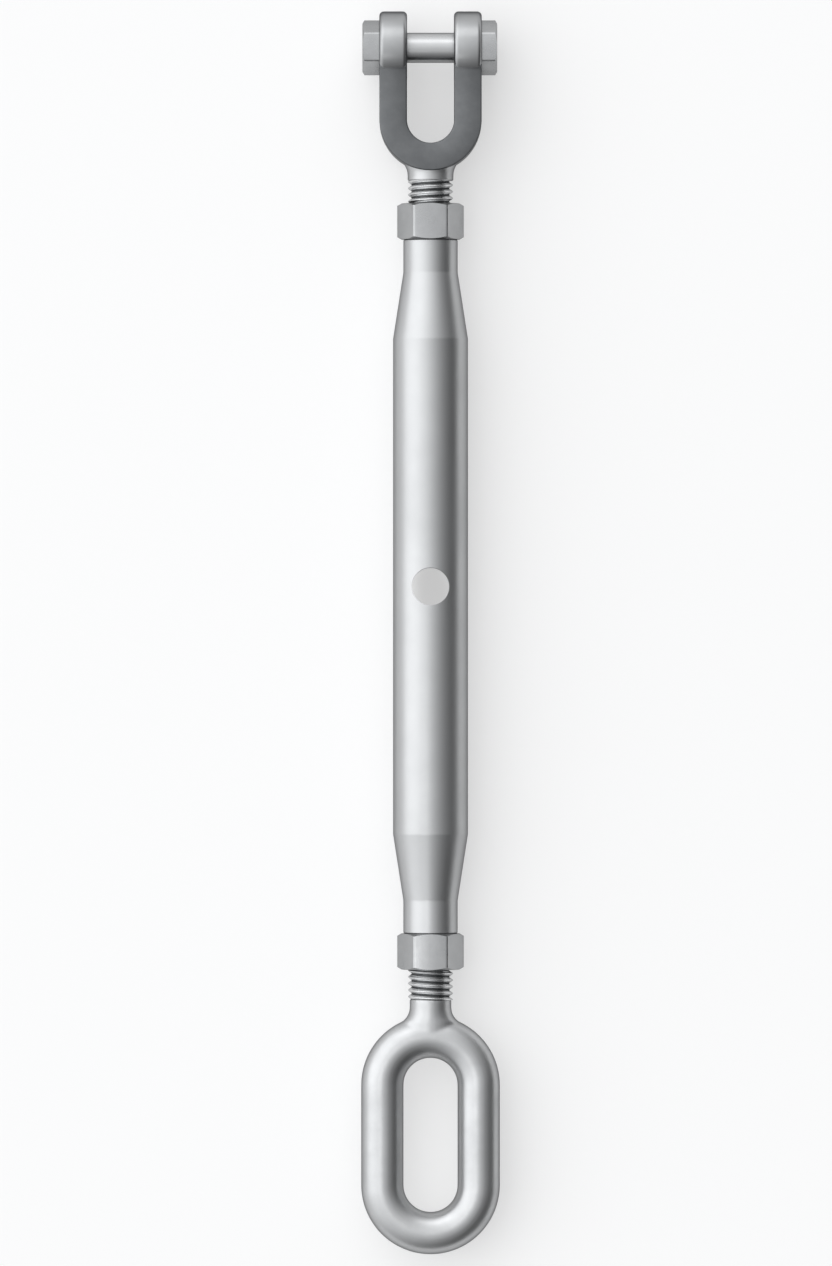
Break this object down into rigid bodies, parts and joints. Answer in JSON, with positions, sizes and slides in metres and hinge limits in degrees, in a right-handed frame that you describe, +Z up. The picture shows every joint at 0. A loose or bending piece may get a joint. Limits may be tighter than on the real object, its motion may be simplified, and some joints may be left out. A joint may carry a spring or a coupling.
{
  "type": "closed body turnbuckle",
  "caption": "Tension fitting with a closed tubular body, a bolted jaw on a right-hand screw, an oval eye on a left-hand screw, lock nuts and a cross hole for a bar.",
  "frame": {"origin": "middle of the cross hole, on the long axis half way along the body", "axes": "+Y along the body towards the jaw, +X across towards the jaw bolt's nut, +Z up out of the cross hole, as the part lies flat"},
  "size_m": [0.037, 0.3314, 0.02],
  "materials": {
    "tube_steel": "drawn and satin polished",
    "forged_steel": "forged and tumble polished",
    "nut_steel": "machined bright"
  },
  "bodies": {
    "body": {"body": "tube_steel"},
    "jaw": {"jaw": "forged_steel"},
    "jaw_lock_nut": {"jaw_lock_nut": "nut_steel"},
    "jaw_bolt": {"jaw_bolt": "nut_steel"},
    "jaw_bolt_nut": {"jaw_bolt_nut": "nut_steel"},
    "eye": {"eye": "forged_steel"},
    "eye_lock_nut": {"eye_lock_nut": "nut_steel"}
  },
  "joints": [
    {"name": "body_turn", "type": "hinge", "parent": "jaw_lock_nut", "child": "body", "pos_m": [0, 0, 0], "axis": [0, -1, 0], "range_deg": [-1080, 13320]},
    {"name": "jaw_travel", "type": "slide", "parent": "jaw", "child": "jaw_lock_nut", "axis": [0, -1, 0], "range_m": [-0.00525, 0.06475]},
    {"name": "eye_turn", "type": "hinge", "parent": "body", "child": "eye_lock_nut", "pos_m": [0, 0, 0], "axis": [0, 1, 0], "range_deg": [-1080, 13320]},
    {"name": "eye_travel", "type": "slide", "parent": "eye_lock_nut", "child": "eye", "axis": [0, -1, 0], "range_m": [-0.00525, 0.06475]},
    {"name": "bolt_pull", "type": "slide", "parent": "jaw", "child": "jaw_bolt", "axis": [-1, 0, 0], "range_m": [0, 0.036]},
    {"name": "bolt_nut_off", "type": "slide", "parent": "jaw", "child": "jaw_bolt_nut", "axis": [1, 0, 0], "range_m": [0, 0.012]}
  ],
  "couplings": [
    {"joint": "body_turn", "follows": "jaw_travel", "rad_per_m": 3590.4},
    {"joint": "eye_turn", "follows": "jaw_travel", "rad_per_m": 3590.4},
    {"joint": "eye_travel", "follows": "jaw_travel", "ratio": 1}
  ]
}
